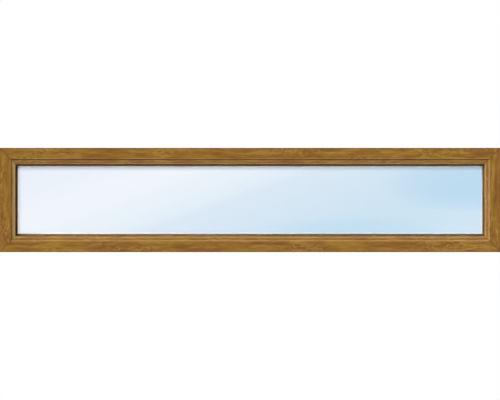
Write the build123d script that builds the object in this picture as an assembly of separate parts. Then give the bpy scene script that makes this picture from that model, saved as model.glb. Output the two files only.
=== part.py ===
from build123d import *

import os
from math import cos, radians, sqrt, tan

# Fixed plastic window: a long, low light with no sash. Four hollow plastic profiles are mitred
# and welded into a frame. The double-glazed unit stands on setting blocks in the rebate, presses
# on a gasket along the weather-side flange, and is held from the room side by four glazing beads
# that clip into a groove of the frame and carry gaskets of their own.
#
# Axes: X along the width, Y from the weather side (-Y, the side shown) to the room side (+Y),
# Z up. The origin is at the middle of the underside. Millimetres.
#
# Everything that runs round the window is drawn once, as a section with two coordinates:
#   depth  along Y, 0 in the middle of the frame's thickness
#   rise   the distance in from the frame's outer edge, towards the middle of the glass

# Whole window
window_width = 2000.0
window_height = 416.0

# Frame profile, outside shape
frame_depth = 70.0            # weather face to room face
face_rise = 44.0              # flat part of the weather face
step_rise = 4.5               # bevel that leads down from it
step_fall = 3.6               # how far that bevel goes back
lower_face_rise = 8.5         # narrow flat between the bevel and the rounded nose
nose_radius = 8.5             # rounded nose of the glazing flange
flange_depth = 17.5           # weather face to the side of the flange that faces the glass
outer_corner_radius = 1.2     # long edges of the weather face and the room face
step_radius = 1.5             # top and foot of the bevel

# Glazing rebate
rebate_rise = 45.0            # floor that the setting blocks stand on
ledge_rise = 46.0             # ledges that the bead rests on; also the height of the room face
ledge_slope = 1.0             # ramp from the floor up to the ledge
gutter_fall = 2.5             # gutter along the flange, below the floor
gutter_width = 4.0
gutter_slope = 2.5            # ramp from the gutter up to the floor

# Groove that holds the bead's foot
groove_wall = 10.0            # ledge between the groove and the room face
groove_mouth = 4.0
groove_lip = 2.8              # thickness of the lip that the barb catches under
groove_undercut = 1.4
groove_depth = 7.0

# Groove that holds the weather gasket's foot, in the flange
gasket_groove_rise = 58.0     # where its mouth begins
gasket_groove_mouth = 2.2
gasket_groove_neck = 1.7
gasket_groove_depth = 3.2
gasket_groove_undercut = 1.0

# Outer edge of the frame: grooves for clip-on sill and coupling profiles, with a shallow recess
# between them
edge_groove_inset = 8.5       # face of the frame to the middle of the groove
edge_groove_mouth = 3.6
edge_groove_lip = 2.0
edge_groove_pocket = 6.4
edge_groove_depth = 4.6
edge_land = 3.7               # land between a groove's mouth and the recess
edge_recess = 1.5

# Chambers inside the profile
outer_wall = 2.8
web = 1.4
floor_wall = 2.2              # under the rebate, and over the edge grooves
weather_chamber = 7.0
lock_chamber = 5.6
room_chamber = 7.2
chamber_radius = 0.7

# Mitred corners of the frame
weld_groove = 0.5             # depth of the V that is left where a weld is cleaned

# Slots that drain the rebate through the drain chamber and out of the underside
drain_slot_length = 28.0
drain_slot_width = 4.0
drain_slot_count = 4
drain_slot_end_distance = 100.0   # corner of the frame to the middle of the first slot
drain_slot_stagger = 60.0     # outlet slots are set along from the inlet slots

# Double-glazed unit
pane_thickness = 4.0
cavity_width = 16.0
glass_edge_clearance = 5.0    # rebate floor to the edge of the glass, filled by the blocks
pane_arris = 0.4
spacer_rise = 6.5
spacer_wall = 0.5
spacer_shoulder = 2.0
butyl_thickness = 0.3
edge_seal_rise = 4.0

# Gaskets
weather_gasket_gap = 4.0      # flange to glass
weather_gasket_foot = 2.0     # part of the gasket below its groove
bead_gasket_gap = 3.0         # glass to bead
bead_gasket_rise = 7.0        # seat of the gasket on the bead
sight_rise = 70.2             # outer edge to the lip of the weather gasket, where the glass begins
room_sight_rise = 77.5        # the bead's gasket reaches further, and shows through the glass
gasket_cover = 2.5            # how far the weather gasket laps over the flange's tip
gasket_fit = 0.2              # clearance of the gasket's foot in its groove
lip_bulge = 0.9               # crown of the gasket's visible lip

# Glazing beads
bead_setback = 1.0            # room face of the frame to the face of the bead
bead_face_rise = 17.0         # flat part of the bead's face
bead_nose_radius = 7.5
bead_slope = 10.0             # degrees that the bead still rises from its nose to the glass
bead_wall = 1.7
bead_stem = 2.0
bead_fit = 0.3                # clearance of the bead's foot in its groove
bead_edge_chamfer = 0.5       # eased edge along the joint with the frame

# Setting blocks
block_length = 100.0
block_corner_distance = 100.0  # corner of the glass to the near end of a block
block_side_length = 60.0
block_overhang = 1.0          # how far a block reaches past the glass on the weather side
block_plate = 2.4
block_rib = 3.0
block_rib_count = 3

# Places that follow from these sizes
weather_face = -frame_depth / 2
room_face = frame_depth / 2
lower_face = weather_face + step_fall
nose_rise = face_rise + step_rise + lower_face_rise
flange_rise = nose_rise + nose_radius
flange_back = weather_face + flange_depth
gutter_rise = rebate_rise - gutter_fall
gutter_end = flange_back + gutter_width + gutter_slope
drain_front = weather_face + outer_wall + weather_chamber + web
drain_back = gutter_end - web

glass_front = flange_back + weather_gasket_gap
cavity_front = glass_front + pane_thickness
cavity_back = cavity_front + cavity_width
glass_back = cavity_back + pane_thickness
glass_rise = rebate_rise + glass_edge_clearance

bead_front = glass_back + bead_gasket_gap
bead_face = room_face - bead_setback
bead_nose_rise = ledge_rise + bead_face_rise
bead_slope_run = bead_face - bead_nose_radius - bead_front
bead_slope_rise = bead_slope_run * tan(radians(bead_slope))
bead_crest_rise = bead_nose_rise + bead_nose_radius / cos(radians(bead_slope)) + bead_slope_rise
groove_back = room_face - groove_wall
groove_front = groove_back - groove_mouth


def section(points):
    """A plain section from its corners."""
    return make_face(Polyline(*points, close=True))


def edge_groove(middle):
    """Corners of one undercut groove in the frame's outer edge, from the room side on."""
    mouth = edge_groove_mouth / 2
    pocket = edge_groove_pocket / 2
    return [
        (middle + mouth, 0),
        (middle + mouth, edge_groove_lip),
        (middle + pocket, edge_groove_lip),
        (middle + pocket, edge_groove_depth),
        (middle - pocket, edge_groove_depth),
        (middle - pocket, edge_groove_lip),
        (middle - mouth, edge_groove_lip),
        (middle - mouth, 0),
    ]


def frame_outline():
    """Outside of the frame profile: weather face, flange, rebate, bead groove, outer edge."""
    weather_side = [
        (weather_face, 0),
        (weather_face, face_rise),
        (lower_face, face_rise + step_rise),
        (lower_face, nose_rise),
    ]
    neck = flange_back - gasket_groove_neck
    groove_end = flange_back - gasket_groove_depth
    groove_top = gasket_groove_rise + gasket_groove_mouth
    rebate = [
        (lower_face + nose_radius, flange_rise),
        (flange_back, flange_rise),
        (flange_back, groove_top),
        (neck, groove_top),
        (neck, groove_top + gasket_groove_undercut),
        (groove_end, groove_top + gasket_groove_undercut),
        (groove_end, gasket_groove_rise - gasket_groove_undercut),
        (neck, gasket_groove_rise - gasket_groove_undercut),
        (neck, gasket_groove_rise),
        (flange_back, gasket_groove_rise),
        (flange_back, gutter_rise),
        (flange_back + gutter_width, gutter_rise),
        (gutter_end, rebate_rise),
        (bead_front - ledge_slope, rebate_rise),
        (bead_front, ledge_rise),
        (groove_front, ledge_rise),
        (groove_front, ledge_rise - groove_lip),
        (groove_front - groove_undercut, ledge_rise - groove_lip),
        (groove_front - groove_undercut, ledge_rise - groove_depth),
        (groove_back, ledge_rise - groove_depth),
        (groove_back, ledge_rise),
        (room_face, ledge_rise),
        (room_face, 0),
    ]
    recess_end = room_face - edge_groove_inset - edge_groove_mouth / 2 - edge_land
    outer_edge = [
        *edge_groove(room_face - edge_groove_inset),
        (recess_end, 0),
        (recess_end - edge_recess, edge_recess),
        (-recess_end + edge_recess, edge_recess),
        (-recess_end, 0),
        *edge_groove(weather_face + edge_groove_inset),
        (weather_face, 0),
    ]
    nose = JernArc(weather_side[-1], (0, 1), nose_radius, -90)
    return make_face([Polyline(*weather_side), nose, Polyline(*rebate, *outer_edge)])


def near(shape, depth, rise):
    """The corner of a section that lies at this depth and rise."""
    return shape.vertices().sort_by_distance((depth, rise, 0))[0]


def chamber(corners, large_corner=None, large_radius=0.0):
    """A chamber's section with small inner radii, and a larger one where it follows a nose."""
    shape = section(corners)
    if large_corner:
        shape = fillet(near(shape, *large_corner), large_radius)
    small = [near(shape, *corner) for corner in corners if corner != large_corner]
    return fillet(small, chamber_radius)


def flange_chamber():
    """The chamber inside the glazing flange; its corner runs parallel to the rounded nose."""
    front = lower_face + outer_wall
    beside_groove = flange_back - gasket_groove_depth - web
    under_groove = gasket_groove_rise - gasket_groove_undercut - web
    back = flange_back - outer_wall
    nose = (front, flange_rise - outer_wall)
    corners = [
        nose,
        (beside_groove, flange_rise - outer_wall),
        (beside_groove, under_groove),
        (back, under_groove),
        (back, ledge_rise),
        (front, ledge_rise),
    ]
    return chamber(corners, nose, nose_radius - outer_wall)


def body_chambers():
    """The chambers of the profile's body, from the weather side to the room side."""
    foot = edge_groove_depth + floor_wall
    room_front = room_face - outer_wall - room_chamber
    lock_back = room_front - web
    lock_front = lock_back - lock_chamber
    main_back = lock_front - web
    groove_floor = ledge_rise - groove_depth - floor_wall
    beyond_groove = groove_back + floor_wall
    weather = [
        (weather_face + outer_wall, foot),
        (weather_face + outer_wall, ledge_rise - web),
        (drain_front - web, ledge_rise - web),
        (drain_front - web, foot),
    ]
    drain = [
        (drain_front, foot),
        (drain_front, ledge_rise - web),
        (flange_back - outer_wall, ledge_rise - web),
        (flange_back - outer_wall, gutter_rise - floor_wall),
        (drain_back, gutter_rise - floor_wall),
        (drain_back, foot),
    ]
    main = [
        (gutter_end, edge_recess + outer_wall),
        (gutter_end, rebate_rise - floor_wall),
        (main_back, rebate_rise - floor_wall),
        (main_back, edge_recess + outer_wall),
    ]
    lock = [
        (lock_front, foot),
        (lock_front, groove_floor),
        (lock_back, groove_floor),
        (lock_back, foot),
    ]
    room = [
        (room_front, foot),
        (room_front, groove_floor),
        (beyond_groove, groove_floor),
        (beyond_groove, ledge_rise - outer_wall),
        (room_face - outer_wall, ledge_rise - outer_wall),
        (room_face - outer_wall, foot),
    ]
    return [chamber(corners) for corners in (weather, drain, main, lock, room)]


def frame_section():
    """The frame profile with its eased edges and its chambers."""
    shape = frame_outline()
    outer_corners = [
        near(shape, weather_face, 0),
        near(shape, room_face, 0),
        near(shape, room_face, ledge_rise),
    ]
    shape = fillet(outer_corners, outer_corner_radius)
    step_corners = [
        near(shape, weather_face, face_rise),
        near(shape, lower_face, face_rise + step_rise),
    ]
    shape = fillet(step_corners, step_radius)
    for hollow in [flange_chamber(), *body_chambers()]:
        shape -= hollow
    return shape


def bead_section():
    """Glazing bead: a hollow moulding with a barbed foot that catches in the frame's groove."""
    stem_back = groove_back - bead_fit
    stem_front = stem_back - bead_stem
    barb_front = groove_front - groove_undercut + bead_fit
    barb_rise = ledge_rise - groove_lip - bead_fit
    foot_rise = ledge_rise - groove_depth + bead_fit
    nose = JernArc((bead_face, bead_nose_rise), (0, 1), bead_nose_radius, 90 - bead_slope)
    rest = Polyline(
        nose @ 1,
        (bead_front, bead_crest_rise),
        (bead_front, ledge_rise),
        (stem_front, ledge_rise),
        (stem_front, barb_rise),
        (barb_front, barb_rise),
        (stem_front, foot_rise),
        (stem_back, foot_rise),
        (stem_back, ledge_rise),
        (bead_face - bead_edge_chamfer, ledge_rise),
        (bead_face, ledge_rise + bead_edge_chamfer),
        (bead_face, bead_nose_rise),
    )
    inner_crest = (bead_front + bead_wall, bead_crest_rise - bead_wall)
    inner_face = bead_face - bead_wall
    fall = (inner_face - inner_crest[0]) * tan(radians(bead_slope))
    inner_nose = (inner_face, inner_crest[1] - fall)
    corners = [
        inner_nose,
        inner_crest,
        (inner_crest[0], ledge_rise + bead_wall),
        (inner_face, ledge_rise + bead_wall),
    ]
    return make_face([nose, rest]) - chamber(corners, inner_nose, bead_nose_radius - bead_wall)


def weather_gasket_section():
    """Gasket on the flange: a foot in the groove, a body on the glass, a lip over the tip."""
    neck_low = gasket_groove_rise + gasket_fit
    neck_high = gasket_groove_rise + gasket_groove_mouth - gasket_fit
    head_low = gasket_groove_rise - gasket_groove_undercut + gasket_fit
    head_high = gasket_groove_rise + gasket_groove_mouth + gasket_groove_undercut - gasket_fit
    head_back = flange_back - gasket_groove_neck - gasket_fit
    head_front = flange_back - gasket_groove_depth + gasket_fit
    body_low = gasket_groove_rise - weather_gasket_foot
    lip_start = (flange_back - gasket_cover, flange_rise)
    lip_end = (glass_front, sight_rise)
    body = Polyline(
        lip_end,
        (glass_front, body_low),
        (flange_back, body_low),
        (flange_back, neck_low),
        (head_back, neck_low),
        (head_back, head_low),
        (head_front, head_low),
        (head_front, head_high),
        (head_back, head_high),
        (head_back, neck_high),
        (flange_back, neck_high),
        (flange_back, flange_rise),
        lip_start,
    )
    return make_face([body, SagittaArc(lip_start, lip_end, lip_bulge)])


def bead_gasket_section():
    """Gasket on the bead: a flat body between bead and glass, with a lip past the bead's crest."""
    lip_start = (bead_front, bead_crest_rise)
    lip_end = (glass_back, room_sight_rise)
    body = Polyline(
        lip_end,
        (glass_back, bead_crest_rise - bead_gasket_rise),
        (bead_front, bead_crest_rise - bead_gasket_rise),
        lip_start,
    )
    return make_face([body, SagittaArc(lip_start, lip_end, -lip_bulge / 2)])


def spacer_section():
    """Hollow bar between the panes, with slanted shoulders towards the edge of the glass."""
    front = cavity_front + butyl_thickness
    back = cavity_back - butyl_thickness
    low = glass_rise + edge_seal_rise
    high = low + spacer_rise

    def outline(inset):
        return section([
            (front + spacer_shoulder, low + inset),
            (back - spacer_shoulder, low + inset),
            (back - inset, low + spacer_shoulder),
            (back - inset, high - inset),
            (front + inset, high - inset),
            (front + inset, low + spacer_shoulder),
        ])

    return outline(0) - outline(spacer_wall)


def edge_seal_section():
    """Sealant round the edge of the glass unit, with a thin film up each side of the spacer."""
    low = glass_rise
    spacer_low = low + edge_seal_rise
    film_top = spacer_low + spacer_rise
    return section([
        (cavity_front, low),
        (cavity_back, low),
        (cavity_back, film_top),
        (cavity_back - butyl_thickness, film_top),
        (cavity_back - butyl_thickness, spacer_low + spacer_shoulder),
        (cavity_back - butyl_thickness - spacer_shoulder, spacer_low),
        (cavity_front + butyl_thickness + spacer_shoulder, spacer_low),
        (cavity_front + butyl_thickness, spacer_low + spacer_shoulder),
        (cavity_front + butyl_thickness, film_top),
        (cavity_front, film_top),
    ])


def block_section():
    """Setting block: a plate on ribs, clear of the gutter so that water runs along below it."""
    front = glass_front - block_overhang
    back = bead_front - ledge_slope
    plate_foot = glass_rise - block_plate
    rib_pitch = (back - block_rib - gutter_end) / (block_rib_count - 1)
    shape = section([
        (front, plate_foot),
        (back, plate_foot),
        (back, glass_rise),
        (front, glass_rise),
    ])
    for number in range(block_rib_count):
        rib_front = gutter_end + number * rib_pitch
        shape += section([
            (rib_front, rebate_rise),
            (rib_front + block_rib, rebate_rise),
            (rib_front + block_rib, plate_foot),
            (rib_front, plate_foot),
        ])
    return shape


# The four sides. A bar is made as the bottom one, and its section's rise then points inwards on
# each side once it is turned about Y.
side_lengths = {
    "bottom": window_width,
    "top": window_width,
    "left": window_height,
    "right": window_height,
}
side_places = {
    "bottom": Location((0, 0, 0)),
    "top": Location((0, 0, window_height), (0, 180, 0)),
    "left": Location((-window_width / 2, 0, window_height / 2), (0, 90, 0)),
    "right": Location((window_width / 2, 0, window_height / 2), (0, -90, 0)),
}


def mitre_wedge(length):
    """What a side of this outside length may fill between its two 45-degree mitre cuts."""
    outline = section([(-length / 2, 0), (length / 2, 0), (0, length / 2)])
    return extrude(Plane.XZ * outline, frame_depth, both=True)


def weld_cleaned(bar, length):
    """The bar with its two welds cleaned out to a shallow V on the flat faces that show."""
    flats = [
        (weather_face, 0, face_rise),
        (lower_face, face_rise + step_rise, nose_rise),
        (room_face, 0, ledge_rise),
    ]
    for depth, low, high in flats:
        middle = (low + high) / 2
        weld = Plane((length / 2 - middle, depth, middle), x_dir=(0, 1, 0), z_dir=(-1, 0, 1))
        cutter = weld * RegularPolygon(weld_groove, 4)
        groove = extrude(cutter, (high - low) / sqrt(2), both=True)
        bar = bar - groove - mirror(groove, Plane.YZ)
    return bar


def mitred_bars(profile, welded=False):
    """The section as four mitred bars, by the side of the window."""
    bars = {}
    for side, length in side_lengths.items():
        straight = extrude(Plane.YZ * profile, length / 2, both=True)
        bar = straight & mitre_wedge(length)
        if welded:
            bar = weld_cleaned(bar, length)
        bars[side] = side_places[side] * bar
    return bars


def slot_cutter(along, depth, low, high):
    """A rounded slot along X, cut from one rise up to another."""
    outline = SlotOverall(drain_slot_length, drain_slot_width)
    return Pos(along, depth, low) * extrude(outline, high - low)


def drained(bar):
    """The bottom side with slots from the gutter down, and out through the underside."""
    inlet_depth = flange_back + gutter_width / 2
    outlet_depth = (drain_front + drain_back) / 2
    inside_drain = (edge_groove_depth + gutter_rise) / 2
    first = drain_slot_end_distance - window_width / 2
    spacing = (-first - first) / (drain_slot_count - 1)
    for number in range(drain_slot_count):
        along = first + number * spacing
        stagger = drain_slot_stagger if along < 0 else -drain_slot_stagger
        bar -= slot_cutter(along, inlet_depth, inside_drain, rebate_rise)
        bar -= slot_cutter(along + stagger, outlet_depth, 0, inside_drain)
    return bar


def pane(front):
    """One sheet of glass with its sharp edges ground off."""
    wide = window_width - 2 * glass_rise
    high = window_height - 2 * glass_rise
    sheet = Pos(0, front + pane_thickness / 2, window_height / 2) * Box(wide, pane_thickness, high)
    return chamfer(sheet.edges(), pane_arris)


def setting_block(side, length, along):
    """A setting block in the rebate of one side, its middle this far along that side."""
    bar = extrude(Plane.YZ * block_section(), length / 2, both=True)
    return side_places[side] * Pos(along, 0, 0) * bar


def window_parts():
    """Every piece of the window, by its name."""
    parts = {}
    for side, bar in mitred_bars(frame_section(), welded=True).items():
        parts["frame_" + side] = drained(bar) if side == "bottom" else bar
    rings = {
        "bead_": bead_section(),
        "weather_gasket_": weather_gasket_section(),
        "bead_gasket_": bead_gasket_section(),
        "spacer_": spacer_section(),
        "edge_seal_": edge_seal_section(),
    }
    for prefix, profile in rings.items():
        for side, bar in mitred_bars(profile).items():
            parts[prefix + side] = bar
    parts["glass_weather_side"] = pane(glass_front)
    parts["glass_room_side"] = pane(cavity_back)
    block_along = window_width / 2 - glass_rise - block_corner_distance - block_length / 2
    parts["block_bottom_left"] = setting_block("bottom", block_length, -block_along)
    parts["block_bottom_right"] = setting_block("bottom", block_length, block_along)
    parts["block_top_left"] = setting_block("top", block_length, block_along)
    parts["block_top_right"] = setting_block("top", block_length, -block_along)
    parts["block_left"] = setting_block("left", block_side_length, 0)
    parts["block_right"] = setting_block("right", block_side_length, 0)
    return parts


os.makedirs("parts", exist_ok=True)
for name, shape in window_parts().items():
    export_step(shape, f"parts/{name}.step")
    print(name, len(shape.solids()), round(shape.volume))
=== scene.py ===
import math

import bpy
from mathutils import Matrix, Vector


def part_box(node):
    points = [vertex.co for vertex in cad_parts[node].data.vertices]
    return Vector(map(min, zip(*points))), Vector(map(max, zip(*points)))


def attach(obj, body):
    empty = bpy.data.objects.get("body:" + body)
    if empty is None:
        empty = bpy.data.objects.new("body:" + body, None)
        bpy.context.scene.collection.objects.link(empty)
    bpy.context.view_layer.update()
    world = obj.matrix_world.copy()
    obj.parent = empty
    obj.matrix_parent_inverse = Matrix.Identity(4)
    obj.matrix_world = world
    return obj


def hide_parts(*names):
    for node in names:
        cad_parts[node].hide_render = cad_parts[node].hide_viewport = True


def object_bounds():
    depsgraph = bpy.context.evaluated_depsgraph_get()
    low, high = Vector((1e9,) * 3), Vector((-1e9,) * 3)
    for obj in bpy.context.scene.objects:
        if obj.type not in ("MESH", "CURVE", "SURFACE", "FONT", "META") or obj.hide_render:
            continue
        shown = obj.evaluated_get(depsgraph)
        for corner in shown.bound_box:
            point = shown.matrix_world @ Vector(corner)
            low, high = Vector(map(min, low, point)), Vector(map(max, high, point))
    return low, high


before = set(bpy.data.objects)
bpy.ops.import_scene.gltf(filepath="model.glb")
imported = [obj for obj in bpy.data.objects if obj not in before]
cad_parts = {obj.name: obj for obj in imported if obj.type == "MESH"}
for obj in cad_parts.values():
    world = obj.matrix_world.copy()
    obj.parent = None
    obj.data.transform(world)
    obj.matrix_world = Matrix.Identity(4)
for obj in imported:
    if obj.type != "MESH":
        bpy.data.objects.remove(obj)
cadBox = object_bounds()          # the model's box before anything is dressed
print("frame loaded:", len(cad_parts), "pieces")

bpy.ops.object.select_all(action='DESELECT')

# Places that the finishes need, read from the frame
windowLow, windowHigh = cadBox
windowWidth = windowHigh.x - windowLow.x
windowHeight = windowHigh.z - windowLow.z
middleHeight = (windowHigh.z + windowLow.z) / 2
sides = ("bottom", "top", "left", "right")

mostNoise = (0.3, 0.7)        # nearly all of a noise lies between these two


# Small helpers for building node trees

def paint(red, green, blue):      # a screen colour, 0 to 255, as the linear colour that nodes take
    def linear(value):
        value /= 255
        return value / 12.92 if value <= 0.04045 else ((value + 0.055) / 1.055) ** 2.4
    return (linear(red), linear(green), linear(blue), 1.0)


def newMaterial(name):
    material = bpy.data.materials.new(name)
    material.use_nodes = True
    material.node_tree.nodes.clear()
    return material, material.node_tree


def addNode(tree, kind, inputs=None, **settings):
    node = tree.nodes.new(kind)
    for key, value in settings.items():
        setattr(node, key, value)
    for key, value in (inputs or {}).items():
        feed(tree, node.inputs[key], value)
    return node


def feed(tree, socket, value):        # a socket is linked, anything else is typed in
    if isinstance(value, bpy.types.NodeSocket):
        tree.links.new(value, socket)
    else:
        socket.default_value = value


def calc(tree, operation, first, second=0.0, third=0.0):
    inputs = {0: first, 1: second, 2: third}
    return addNode(tree, 'ShaderNodeMath', inputs, operation=operation).outputs[0]


def vectorOf(tree, x, y, z):
    return addNode(tree, 'ShaderNodeCombineXYZ', {"X": x, "Y": y, "Z": z}).outputs[0]


def noise(tree, place, scale, detail=2.0, roughness=0.5, distortion=0.0):     # one scale for each axis
    stretched = addNode(tree, 'ShaderNodeMapping', {"Vector": place, "Scale": scale}).outputs[0]
    inputs = {"Vector": stretched, "Scale": 1.0, "Detail": detail, "Roughness": roughness,
              "Distortion": distortion}
    return addNode(tree, 'ShaderNodeTexNoise', inputs).outputs[0]


def fade(tree, value, low, high, start=0.0, end=1.0):     # goes softly from start, at low, to end, at high
    inputs = {"Value": value, "From Min": low, "From Max": high, "To Min": start, "To Max": end}
    node = addNode(tree, 'ShaderNodeMapRange', inputs, interpolation_type='SMOOTHSTEP')
    return node.outputs[0]


def mixColour(tree, share, first, second):
    node = addNode(tree, 'ShaderNodeMix', data_type='RGBA')
    feed(tree, node.inputs[0], share)
    feed(tree, node.inputs[6], first)
    feed(tree, node.inputs[7], second)
    return node.outputs[2]


def ramp(tree, value, stops):
    node = addNode(tree, 'ShaderNodeValToRGB', {"Fac": value})
    elements = node.color_ramp.elements
    while len(elements) < len(stops):
        elements.new(0.5)
    for element, (position, colour) in zip(elements, stops):
        element.position = position
        element.color = colour
    return node.outputs[0]


def bump(tree, height, distance):
    inputs = {"Height": height, "Distance": distance, "Strength": 1.0}
    return addNode(tree, 'ShaderNodeBump', inputs).outputs[0]


def placeOf(tree):
    return addNode(tree, 'ShaderNodeTexCoord').outputs["Object"]


def partsOf(tree, place):
    return addNode(tree, 'ShaderNodeSeparateXYZ', {"Vector": place}).outputs


def finishWith(tree, inputs):
    shader = addNode(tree, 'ShaderNodeBsdfPrincipled', inputs)
    addNode(tree, 'ShaderNodeOutputMaterial', {"Surface": shader.outputs[0]})


def dress(name, material):
    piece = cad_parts[name]
    piece.data.materials.clear()
    piece.data.materials.append(material)


# Oak-grain foil on the frame and the beads. One material for each member, because the grain
# runs along it.

foil = {
    "dark": paint(104, 66, 20),
    "red": paint(139, 91, 36),
    "middle": paint(142, 100, 34),
    "olive": paint(151, 112, 34),
    "light": paint(184, 145, 76),
    "core": paint(112, 74, 40),           # plastic that shows where the foil ends
    "noises": {                           # scale along, across and in depth, detail, roughness, distortion
        "figure": ((7.0, 34.0, 20.0), 3.0, 0.55, 0.8),
        "streaks": ((10.0, 90.0, 70.0), 3.0, 0.6, 0.3),
        "fineStreaks": ((26.0, 420.0, 340.0), 2.0, 0.6),
        "flecks": ((70.0, 210.0, 160.0), 3.0, 0.62, 0.7),
        "pores": ((75.0, 2900.0, 2300.0), 1.0),
    },
    "sway": ((5.0, 14.0, 14.0), 2.0),     # the noise that the grain strays sideways with
    "wander": 0.026,                      # and how far it strays
    "figureSpan": (0.36, 0.64),           # from red to olive
    "layers": [                           # noise, where it starts, where it is full, strength, colour
        ("streaks", 0.5, 0.68, 0.4, "light"),
        ("streaks", 0.5, 0.32, 0.5, "dark"),
        ("fineStreaks", 0.5, 0.68, 0.3, "dark"),
        ("flecks", 0.52, 0.64, 0.55, "light"),
        ("flecks", 0.48, 0.36, 0.55, "dark"),
    ],
    "fleckZone": ((4.2, 16.0, 10.0), 1.0),
    "fleckZoneSpan": (0.48, 0.6),         # flecks come in patches, where the noise of the zone is high
    "poreSpan": (0.62, 0.7),
    "poreStrength": 0.5,
    "poreDepth": 0.00006,
    "mitreLine": paint(84, 52, 20),
    "mitreSpan": (0.00208, 0.00065),      # how far from the mitre the line starts and is full
    "mitreStrength": 0.85,
    "rim": paint(74, 36, 5),              # darker line along the outer edge
    "rimWidth": 0.0036,
    "rimStrength": 1.0,
    "paintedHighlight": paint(226, 200, 158),       # painted highlight: pale lines along edges and slopes
    "paintedShade": paint(70, 48, 26),            # painted shade: dark lines along some edges
    "paintedHighlightLines": [                      # painted highlights on each member: rise, reach, strength
        (0.0432, 0.0026, 0.13),
        (0.0525, 0.006, 0.06),
    ],
    "foilEnd": 0.0283,                    # the foil wraps round the edge up to here
    "grooveDepth": 0.0062,                # and the bare edge reaches this far in
    "roughness": (0.42, 0.6),
    "specular": 0.2,
    "beadShift": 57.0,                    # so that a bead's grain differs from its frame member's
}

# For each member: its long axis, the axis across it, how the rise from its outer edge follows from
# a place, a shift of the grain, and the lines of painted highlight and painted shade as rise, reach,
# strength
memberFrames = {
    "bottom": {"along": "X", "across": "Z", "turn": 1.0, "edge": windowLow.z, "shift": 3.1,
               "paintedHighlight": [(0.0588, 0.0028, 0.26), (0.0465, 0.0026, 0.12)],
               "paintedShadeLines": [(0.0635, 0.0036, 0.55)]},
    "top": {"along": "X", "across": "Z", "turn": -1.0, "edge": windowHigh.z, "shift": 11.7,
            "paintedHighlight": [(0.063, 0.0038, 0.32)],
            "paintedShadeLines": [(0.0462, 0.0026, 0.8)]},
    "left": {"along": "Z", "across": "X", "turn": 1.0, "edge": windowLow.x, "shift": 27.7,
             "paintedHighlight": [(0.0588, 0.0028, 0.7), (0.0625, 0.002, 0.25)],
             "paintedShadeLines": [(0.0465, 0.0022, 0.06)]},
    "right": {"along": "Z", "across": "X", "turn": -1.0, "edge": windowHigh.x, "shift": 42.3,
              "paintedHighlight": [(0.0588, 0.0028, 0.36), (0.0465, 0.0026, 0.14)],
              "paintedShadeLines": [(0.0635, 0.0034, 0.55)]},
}


def memberPlace(tree, member):
    spec = memberFrames[member]
    place = partsOf(tree, placeOf(tree))
    along = place[spec["along"]]
    across = place[spec["across"]]
    rise = calc(tree, 'MULTIPLY_ADD', across, spec["turn"], -spec["turn"] * spec["edge"])
    if spec["along"] == "X":
        fromMiddle = calc(tree, 'ABSOLUTE', along)
        fromEnd = calc(tree, 'SUBTRACT', windowWidth / 2, fromMiddle)
    else:
        fromMiddle = calc(tree, 'ABSOLUTE', calc(tree, 'SUBTRACT', along, middleHeight))
        fromEnd = calc(tree, 'SUBTRACT', windowHeight / 2, fromMiddle)
    return along, rise, place["Y"], fromEnd


def lineShare(tree, rise, centre, reach, strength):       # full on a line along the member
    away = calc(tree, 'ABSOLUTE', calc(tree, 'SUBTRACT', rise, centre))
    return calc(tree, 'MULTIPLY', fade(tree, away, reach, 0.0), strength)


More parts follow.
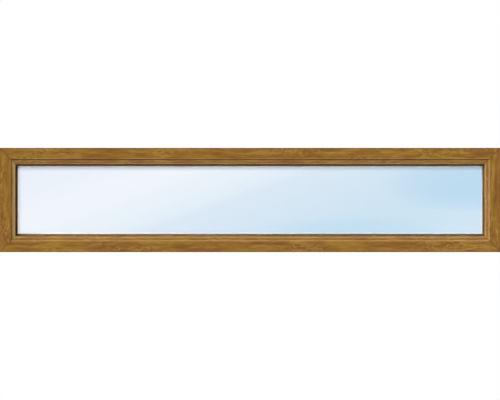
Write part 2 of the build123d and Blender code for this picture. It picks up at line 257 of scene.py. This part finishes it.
def makeFoil(name, member, extraShift=0.0):
    material, tree = newMaterial(name)
    along, rise, depth, fromEnd = memberPlace(tree, member)
    shifted = calc(tree, 'ADD', along, memberFrames[member]["shift"] + extraShift)
    plain = vectorOf(tree, shifted, rise, depth)

    # the grain wanders sideways, slowly along the member
    sway = calc(tree, 'SUBTRACT', noise(tree, plain, *foil["sway"]), 0.5)
    strayed = calc(tree, 'MULTIPLY_ADD', sway, foil["wander"], rise)
    grain = vectorOf(tree, shifted, strayed, depth)

    # broad figure, streaks, flecks and pores, from coarse to fine
    noises = {key: noise(tree, grain, *spec) for key, spec in foil["noises"].items()}
    zone = fade(tree, noise(tree, plain, *foil["fleckZone"]), *foil["fleckZoneSpan"])
    pores = fade(tree, noises["pores"], *foil["poreSpan"])
    colour = ramp(tree, fade(tree, noises["figure"], *foil["figureSpan"]), [
        (0.0, foil["red"]),
        (0.5, foil["middle"]),
        (1.0, foil["olive"]),
    ])
    for key, start, full, strength, colourName in foil["layers"]:
        share = fade(tree, noises[key], start, full)
        if key == "flecks":
            share = calc(tree, 'MULTIPLY', share, zone)
        colour = mixColour(tree, calc(tree, 'MULTIPLY', share, strength), colour, foil[colourName])
    poreShare = calc(tree, 'MULTIPLY', pores, foil["poreStrength"])
    colour = mixColour(tree, poreShare, colour, foil["dark"])

    # a darker rim along the outer edge, painted highlights as pale lines along edges and slopes,
    # painted shade as dark lines along some edges, and the line of the weld or of the bead's joint
    rim = calc(tree, 'MULTIPLY', fade(tree, rise, foil["rimWidth"], 0.0), foil["rimStrength"])
    colour = mixColour(tree, rim, colour, foil["rim"])
    paintedLines = memberFrames[member]
    for centre, reach, strength in foil["paintedHighlightLines"] + paintedLines["paintedHighlight"]:
        colour = mixColour(tree, lineShare(tree, rise, centre, reach, strength), colour, foil["paintedHighlight"])
    for centre, reach, strength in paintedLines["paintedShadeLines"]:
        colour = mixColour(tree, lineShare(tree, rise, centre, reach, strength), colour, foil["paintedShade"])
    offMitre = calc(tree, 'ABSOLUTE', calc(tree, 'SUBTRACT', fromEnd, rise))
    line = fade(tree, offMitre, *foil["mitreSpan"])
    line = calc(tree, 'MULTIPLY', line, foil["mitreStrength"])
    colour = mixColour(tree, line, colour, foil["mitreLine"])

    # the outer edge between the faces is bare plastic
    inward = calc(tree, 'LESS_THAN', rise, foil["grooveDepth"])
    between = calc(tree, 'LESS_THAN', calc(tree, 'ABSOLUTE', depth), foil["foilEnd"])
    bare = calc(tree, 'MULTIPLY', inward, between)
    colour = mixColour(tree, bare, colour, foil["core"])

    covered = calc(tree, 'SUBTRACT', 1.0, bare)
    relief = calc(tree, 'MULTIPLY', calc(tree, 'SUBTRACT', noises["fineStreaks"], pores), covered)
    finishWith(tree, {
        "Base Color": colour,
        "Roughness": fade(tree, noises["fineStreaks"], *mostNoise, *foil["roughness"]),
        "Specular IOR Level": foil["specular"],
        "Normal": bump(tree, relief, foil["poreDepth"]),
    })
    return material


for side in sides:
    dress("frame_" + side, makeFoil("oakFoilFrame" + side.capitalize(), side))
    dress("bead_" + side, makeFoil("oakFoilBead" + side.capitalize(), side, foil["beadShift"]))
print("foil laid on frame and beads")


# Gaskets: dark brown on the weather side, milky on the beads. A lip has its root and its tip as
# rises from the outer edge, and extra says how much further it is pressed over the glass.

rubber = {
    "cloud": ((30.0, 30.0, 30.0), 3.0),   # noise of the dust: scale and detail
    "dustSpan": (0.4, 0.7),
    "dustShare": 0.5,
    "grit": ((1800.0, 1800.0, 1800.0), 2.0),
    "gritDepth": 0.00002,
    "mergeDistance": 0.00001,             # the triangles of a solid are joined within this
    "smoothAngle": 30,
    "sameRise": 0.00002,                  # two rises closer than this meet in a mitre
    "weather": {
        "colour": paint(82, 54, 24),
        "dusty": paint(98, 68, 36),
        "roughness": (0.75, 0.9),
        "specular": 0.02,
        "clear": 0.0,
        "ior": 1.5,
        "lip": (0.0655, 0.0702),
        "extra": {"bottom": 0.001, "left": 0.0024, "right": 0.001},
    },
    "bead": {
        "colour": paint(255, 246, 236),
        "dusty": paint(250, 240, 229),
        "roughness": (0.55, 0.7),
        "specular": 0.15,
        "clear": 0.82,                    # milky, so daylight comes through it
        "ior": 1.1,
        "gap": 0.0001,
        "lip": (0.0729, 0.0775),
        "extra": {"left": 0.0009},
        "edge": paint(90, 90, 90),        # painted shade along the tip of the left one
        "edgeShadeLine": (0.0781, 0.0012, 1.0),
    },
}


def makeRubber(name, spec):
    material, tree = newMaterial(name)
    place = placeOf(tree)
    cloud = noise(tree, place, *rubber["cloud"])
    grit = noise(tree, place, *rubber["grit"])
    share = calc(tree, 'MULTIPLY', fade(tree, cloud, *rubber["dustSpan"]), rubber["dustShare"])
    colour = mixColour(tree, share, spec["colour"], spec["dusty"])
    # painted shade: a grey line along the tip of the left lip
    if "edge" in spec:
        fromLeft = calc(tree, 'SUBTRACT', partsOf(tree, place)["X"], windowLow.x)
        colour = mixColour(tree, lineShare(tree, fromLeft, *spec["edgeShadeLine"]), colour, spec["edge"])
    finishWith(tree, {
        "Base Color": colour,
        "Roughness": fade(tree, cloud, *mostNoise, *spec["roughness"]),
        "Specular IOR Level": spec["specular"],
        "Transmission Weight": spec["clear"],
        "IOR": spec["ior"],
        "Normal": bump(tree, grit, rubber["gritDepth"]),
    })
    return material


def pickOut(piece):
    bpy.ops.object.select_all(action='DESELECT')
    piece.select_set(True)
    bpy.context.view_layer.objects.active = piece


def smoothCopy(name, newName, material):      # a welded, smooth-shaded stand-in for a CAD node
    pickOut(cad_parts[name])
    bpy.ops.object.duplicate()
    piece = bpy.context.object
    piece.name = newName
    piece.data.name = newName
    bpy.ops.object.mode_set(mode='EDIT')
    bpy.ops.mesh.select_all(action='SELECT')
    bpy.ops.mesh.remove_doubles(threshold=rubber["mergeDistance"])
    bpy.ops.mesh.select_all(action='DESELECT')
    bpy.ops.object.mode_set(mode='OBJECT')
    bpy.ops.object.shade_smooth_by_angle(angle=math.radians(rubber["smoothAngle"]))
    piece.data.materials.clear()
    piece.data.materials.append(material)
    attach(piece, "root")
    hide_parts(name)
    return piece


def liftOffPane(piece, depth, gap):     # air between the rubber and the glass, so that both show
    pickOut(piece)
    for vertex in piece.data.vertices:
        vertex.select = abs(vertex.co.y - depth) < gap / 2
    bpy.ops.object.mode_set(mode='EDIT')
    bpy.ops.transform.translate(value=(0.0, gap, 0.0))
    bpy.ops.mesh.select_all(action='DESELECT')
    bpy.ops.object.mode_set(mode='OBJECT')


def riseOf(side, place):        # how far a place lies in from the outer edge of a side
    spec = memberFrames[side]
    across = place.z if spec["across"] == "Z" else place.x
    return (across - spec["edge"]) * spec["turn"]


def stretchLip(piece, side, root, tip, extra):      # the mitred ends are stretched with the long part
    pickOut(piece)
    neighbours = ("left", "right") if side in ("bottom", "top") else ("bottom", "top")
    for target in (side,) + neighbours:
        for vertex in piece.data.vertices:
            own, other = riseOf(side, vertex.co), riseOf(target, vertex.co)
            vertex.select = own > root and abs(own - other) < rubber["sameRise"]
        spec = memberFrames[target]
        pivot = spec["edge"] + spec["turn"] * root
        factor = 1 + extra / (tip - root)
        upright = spec["across"] == "Z"
        bpy.ops.object.mode_set(mode='EDIT')
        bpy.ops.transform.resize(
            value=(1.0, 1.0, factor) if upright else (factor, 1.0, 1.0),
            center_override=(0.0, 0.0, pivot) if upright else (pivot, 0.0, 0.0))
        bpy.ops.mesh.select_all(action='DESELECT')
        bpy.ops.object.mode_set(mode='OBJECT')


weatherRubber = makeRubber("weatherGasketRubber", rubber["weather"])
beadRubber = makeRubber("beadGasketRubber", rubber["bead"])
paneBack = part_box("glass_room_side")[1].y
for side in sides:
    dress("weather_gasket_" + side, weatherRubber)
    lip = smoothCopy("weather_gasket_" + side, "brownLip" + side.capitalize(), weatherRubber)
    if side in rubber["weather"]["extra"]:
        stretchLip(lip, side, *rubber["weather"]["lip"], rubber["weather"]["extra"][side])
    dress("bead_gasket_" + side, beadRubber)
    lip = smoothCopy("bead_gasket_" + side, "milkyLip" + side.capitalize(), beadRubber)
    liftOffPane(lip, paneBack, rubber["bead"]["gap"])
    if side in rubber["bead"]["extra"]:
        stretchLip(lip, side, *rubber["bead"]["lip"], rubber["bead"]["extra"][side])
print("gaskets finished")


# Glass: a pale blue tint painted on the panes as a reflected sky, deepening to the right and thinner in
# faint slanting bands

glass = {
    "tint": [                             # painted sky reflection, from the upper left to the lower right, for one pane
        (0.0, paint(243, 247, 252)),
        (0.24, paint(247, 250, 253)),
        (0.36, paint(243, 248, 252)),
        (0.5, paint(235, 243, 250)),
        (0.66, paint(230, 241, 249)),
        (0.8, paint(226, 240, 248)),
        (1.0, paint(230, 242, 250)),
    ],
    "slant": -2.6,                        # how far the bands lean: sideways for each step up
    "spanLow": -1.2,
    "spanHigh": 1.2,
    "streaks": 0.1,                       # how much they shift the tint
    "streakScale": (1.0, 22.0, 1.0),
    "streakLean": 0.35,                   # how far they rise for each step to the right
    "deep": paint(206, 230, 245),
    "deepPatches": [                      # deeper patches of the painted sky reflection: place along and up, reach along and up, strength
        (0.9, 0.065, 0.42, 0.13, 0.42),
        (0.42, -0.12, 0.42, 0.06, 0.22),
    ],
    "shadow": paint(150, 160, 170),       # painted shadow of the frame
    "paintedFrameReflection": paint(232, 178, 112),         # painted reflection of the brown frame at the edge of the pane
    "sightRise": 0.0702,                  # where the clear glass starts, from the outer edge
    "edgeShades": [                       # painted shadow and reflection along the sides: side, kind, reach, strength
        ("top", "shadow", 0.026, 0.41),
        ("left", "shadow", 0.024, 0.11),
        ("top", "paintedFrameReflection", 0.016, 0.15),
        ("top", "paintedFrameReflection", 0.004, 0.3),
        ("bottom", "paintedFrameReflection", 0.007, 0.22),
        ("left", "paintedFrameReflection", 0.005, 0.3),
        ("right", "paintedFrameReflection", 0.005, 0.4),
    ],
    "ior": 1.5,
    "lampTint": paint(248, 251, 252),
}


def makeGlass(name):
    material, tree = newMaterial(name)
    place = partsOf(tree, placeOf(tree))
    height = calc(tree, 'SUBTRACT', place["Z"], middleHeight)
    slanting = calc(tree, 'MULTIPLY_ADD', height, glass["slant"], place["X"])
    down = calc(tree, 'MULTIPLY', height, -1.0)
    acrossStreaks = calc(tree, 'MULTIPLY_ADD', place["X"], glass["streakLean"], down)
    streak = noise(tree, vectorOf(tree, slanting, acrossStreaks, 0.0), glass["streakScale"])
    span = addNode(tree, 'ShaderNodeMapRange', {
        "Value": slanting,
        "From Min": glass["spanLow"],
        "From Max": glass["spanHigh"],
    }).outputs[0]
    span = calc(tree, 'MULTIPLY_ADD', calc(tree, 'SUBTRACT', streak, 0.5), glass["streaks"], span)
    # the painted sky reflection, as a tint across the pane
    colour = ramp(tree, span, glass["tint"])
    for along, up, reachAlong, reachUp, strength in glass["deepPatches"]:
        offAlong = calc(tree, 'DIVIDE', calc(tree, 'SUBTRACT', place["X"], along), reachAlong)
        offUp = calc(tree, 'DIVIDE', calc(tree, 'SUBTRACT', height, up), reachUp)
        away = calc(tree, 'MULTIPLY_ADD', offUp, offUp, calc(tree, 'MULTIPLY', offAlong, offAlong))
        share = calc(tree, 'MULTIPLY', fade(tree, away, 1.0, 0.0), strength)
        colour = mixColour(tree, share, colour, glass["deep"])
    # painted shadow and painted reflection along the sides of the pane
    for side, kind, reach, strength in glass["edgeShades"]:
        rise = memberPlace(tree, side)[1]
        share = fade(tree, rise, glass["sightRise"] + reach, glass["sightRise"])
        colour = mixColour(tree, calc(tree, 'MULTIPLY', share, strength), colour, glass[kind])
    clear = addNode(tree, 'ShaderNodeBsdfPrincipled', {
        "Base Color": colour,
        "Roughness": 0.0,
        "IOR": glass["ior"],
        "Transmission Weight": 1.0,
    })

    # lamps light what is behind the panes through this
    lampRay = addNode(tree, 'ShaderNodeLightPath').outputs["Is Shadow Ray"]
    through = addNode(tree, 'ShaderNodeBsdfTransparent', {"Color": glass["lampTint"]})
    shares = {0: lampRay, 1: clear.outputs[0], 2: through.outputs[0]}
    both = addNode(tree, 'ShaderNodeMixShader', shares)
    addNode(tree, 'ShaderNodeOutputMaterial', {"Surface": both.outputs[0]})
    return material


paneGlass = makeGlass("skyTintedGlass")
dress("glass_weather_side", paneGlass)
dress("glass_room_side", paneGlass)
print("panes glazed")


# Spacer bars between the panes: drawn aluminium

spacerBar = {
    "bright": paint(196, 198, 200),
    "dull": paint(170, 172, 175),
    "drawnLines": ((12.0, 900.0, 12.0), 2.0),
    "lineDepth": 0.00002,
    "roughness": (0.28, 0.45),
}


def makeAluminium(name):
    material, tree = newMaterial(name)
    lines = noise(tree, placeOf(tree), *spacerBar["drawnLines"])
    finishWith(tree, {
        "Base Color": mixColour(tree, fade(tree, lines, *mostNoise), spacerBar["bright"], spacerBar["dull"]),
        "Metallic": 1.0,
        "Roughness": fade(tree, lines, *mostNoise, *spacerBar["roughness"]),
        "Normal": bump(tree, lines, spacerBar["lineDepth"]),
    })
    return material


# Edge sealant and setting blocks: soft and hard plastic with a slightly cloudy skin

moulded = {
    "sealant": {"colour": paint(46, 46, 48), "roughness": (0.52, 0.68)},
    "block": {"colour": paint(52, 98, 160), "roughness": (0.32, 0.48)},
    "paler": 1.35,                        # how much paler the clouds are
    "cloud": ((45.0, 45.0, 45.0), 3.0),
    "cloudSpan": (0.35, 0.7),
    "skin": ((900.0, 900.0, 900.0), 2.0),
    "skinDepth": 0.00003,
}


def makePlastic(name, spec):
    material, tree = newMaterial(name)
    place = placeOf(tree)
    cloud = noise(tree, place, *moulded["cloud"])
    skin = noise(tree, place, *moulded["skin"])
    pale = tuple(min(1.0, channel * moulded["paler"]) for channel in spec["colour"][:3]) + (1.0,)
    finishWith(tree, {
        "Base Color": mixColour(tree, fade(tree, cloud, *moulded["cloudSpan"]), spec["colour"], pale),
        "Roughness": fade(tree, cloud, *mostNoise, *spec["roughness"]),
        "Normal": bump(tree, skin, moulded["skinDepth"]),
    })
    return material


aluminium = makeAluminium("spacerAluminium")
sealant = makePlastic("edgeSealant", moulded["sealant"])
blockPlastic = makePlastic("settingBlockPlastic", moulded["block"])
for side in sides:
    dress("spacer_" + side, aluminium)
    dress("edge_seal_" + side, sealant)
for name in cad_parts:
    if name.startswith("block_"):
        dress(name, blockPlastic)
print("glass unit and blocks finished")


# Stage: a pale floor, a soft lamp from the upper left, a weaker one from the room side, and an
# even surround

stage = {
    "floorSize": 30.0,
    "floor": paint(224, 224, 223),
    "floorPale": paint(229, 229, 228),
    "floorCloud": ((3.0, 3.0, 3.0), 3.0),
    "floorRoughness": 0.8,
    "floorSpecular": 0.1,
    "floorBounce": paint(186, 184, 181),  # what the floor throws back on the window
    "surroundColour": paint(255, 255, 255),
    "surround": 0.22,                     # its strength, where it lights and isn't seen
    "cameraDistance": 4.0,
    "viewWidth": 1.996,
    "viewEnd": 100.0,
    "lampDistance": 3.0,                  # how many times further out than "from" a lamp stands
}

# lamps by where they shine from, how strong and how wide they are
lamps = {
    "keyLamp": {"from": (-1.35, -0.8, 1.2), "strength": 4.25, "angle": 24.0},
    "roomLamp": {"from": (-0.2, 1.0, 0.3), "strength": 2.7, "angle": 24.0},
}


def seenShare(tree):      # 1 where the camera, a gloss or the glass looks, 0 where light only bounces
    ray = addNode(tree, 'ShaderNodeLightPath').outputs
    seen = calc(tree, 'MAXIMUM', ray["Is Camera Ray"], ray["Is Glossy Ray"])
    return calc(tree, 'MAXIMUM', seen, ray["Is Transmission Ray"])


def makeFloor():
    bpy.ops.mesh.primitive_plane_add(size=stage["floorSize"], location=(0.0, 0.0, windowLow.z))
    floor = bpy.context.object
    floor.name = "studioFloor"
    material, tree = newMaterial("studioFloorPaint")
    cloud = noise(tree, placeOf(tree), *stage["floorCloud"])
    pale = mixColour(tree, cloud, stage["floor"], stage["floorPale"])
    finishWith(tree, {
        "Base Color": mixColour(tree, seenShare(tree), stage["floorBounce"], pale),
        "Roughness": stage["floorRoughness"],
        "Specular IOR Level": stage["floorSpecular"],
    })
    floor.data.materials.append(material)


def makeSurround():
    world = bpy.data.worlds.new("studioSurround")
    bpy.context.scene.world = world
    world.use_nodes = True
    tree = world.node_tree
    tree.nodes.clear()
    strength = fade(tree, seenShare(tree), 0.0, 1.0, stage["surround"], 1.0)
    back = addNode(tree, 'ShaderNodeBackground', {"Color": stage["surroundColour"], "Strength": strength})
    addNode(tree, 'ShaderNodeOutputWorld', {"Surface": back.outputs[0]})


def makeLamp(name):
    spec = lamps[name]
    x, y, z = (step * stage["lampDistance"] for step in spec["from"])
    bpy.ops.object.light_add(type='SUN', location=(x, y, z))
    lamp = bpy.context.object
    lamp.name = name
    lamp.data.energy = spec["strength"]
    lamp.data.angle = math.radians(spec["angle"])
    lamp.rotation_euler = (math.atan2(math.hypot(x, y), z), 0.0, math.atan2(x, -y))
    lamp.visible_transmission = False     # the glass lets it through as a shadow already


def makeCamera():
    bpy.ops.object.camera_add(location=(0.0, -stage["cameraDistance"], middleHeight),
                              rotation=(math.radians(90), 0.0, 0.0))
    camera = bpy.context.object
    camera.name = "viewCamera"
    camera.data.type = 'ORTHO'
    camera.data.ortho_scale = stage["viewWidth"]
    camera.data.clip_end = stage["viewEnd"]
    bpy.context.scene.camera = camera


makeFloor()
makeSurround()
for name in lamps:
    makeLamp(name)
makeCamera()
bpy.context.scene.view_settings.view_transform = 'Standard'
print("stage, lamps and camera set")
